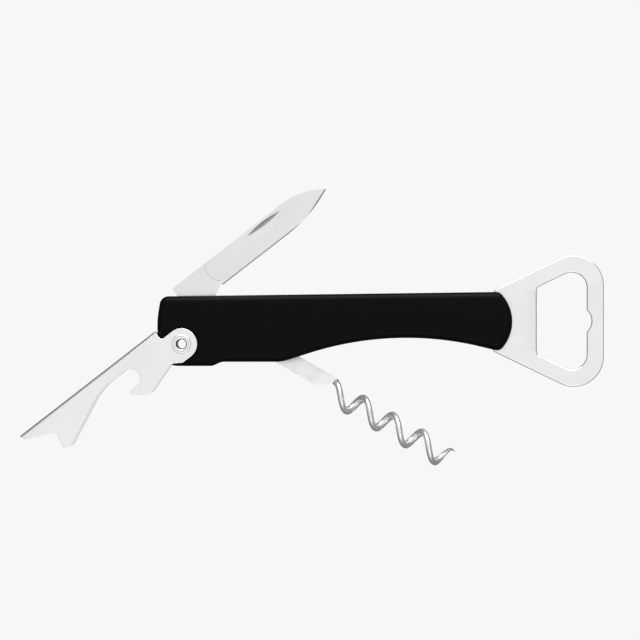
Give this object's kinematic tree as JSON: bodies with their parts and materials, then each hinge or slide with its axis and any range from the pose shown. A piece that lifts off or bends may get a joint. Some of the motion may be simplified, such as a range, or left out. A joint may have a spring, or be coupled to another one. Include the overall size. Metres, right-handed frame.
{
  "type": "waiters corkscrew",
  "caption": "Folding waiter's corkscrew with a slim black handle, hinged foil knife, wire worm and pronged channel lever, and a bottle opener ring at its end.",
  "frame": {"origin": "on the lever rivet's axis, at mid thickness of the handle", "axes": "+X along the handle towards the bottle opener, +Y towards the edge the knife folds into, +Z along the pivots' axes"},
  "size_m": [0.1829, 0.0868, 0.0172],
  "materials": {
    "handle_plastic": "satin black, fine moulded grain",
    "core_plastic": "plain black moulding",
    "plate_steel": "rolled sheet, satin",
    "tool_steel": "polished sheet, light satin",
    "blade_steel": "ground and lightly polished",
    "worm_steel": "polished wire",
    "rivet_steel": "polished",
    "bush_nylon": "dark nylon"
  },
  "bodies": {
    "handle": {"front_cover": "handle_plastic", "back_cover": "handle_plastic", "front_liner": "plate_steel", "back_liner": "plate_steel", "core_moulding": "core_plastic", "opener_plate": "tool_steel", "lever_rivet": "rivet_steel", "opener_rivets": "rivet_steel", "core_rivet": "rivet_steel", "knife_pin": "rivet_steel", "worm_pin": "rivet_steel", "lever_sleeve": "rivet_steel", "lever_washer_front": "bush_nylon", "lever_washer_back": "bush_nylon", "knife_washer_front": "rivet_steel", "knife_washer_back": "rivet_steel", "worm_bush_front": "bush_nylon", "worm_bush_back": "bush_nylon"},
    "knife": {"knife_blade": "blade_steel"},
    "worm": {"worm": "worm_steel"},
    "lever": {"lever": "tool_steel"}
  },
  "joints": [
    {"name": "knife_hinge", "type": "hinge", "parent": "handle", "child": "knife", "pos_m": [0, 0.0111, 0], "axis": [0, 0, 1], "range_deg": [-37.8, 140]},
    {"name": "worm_hinge", "type": "hinge", "parent": "handle", "child": "worm", "pos_m": [0.0148, 0.0057, 0], "axis": [0, 0, 1], "range_deg": [-60, 30.5]},
    {"name": "lever_hinge", "type": "hinge", "parent": "handle", "child": "lever", "pos_m": [0, 0, 0], "axis": [0, 0, 1], "range_deg": [0, 65]}
  ]
}
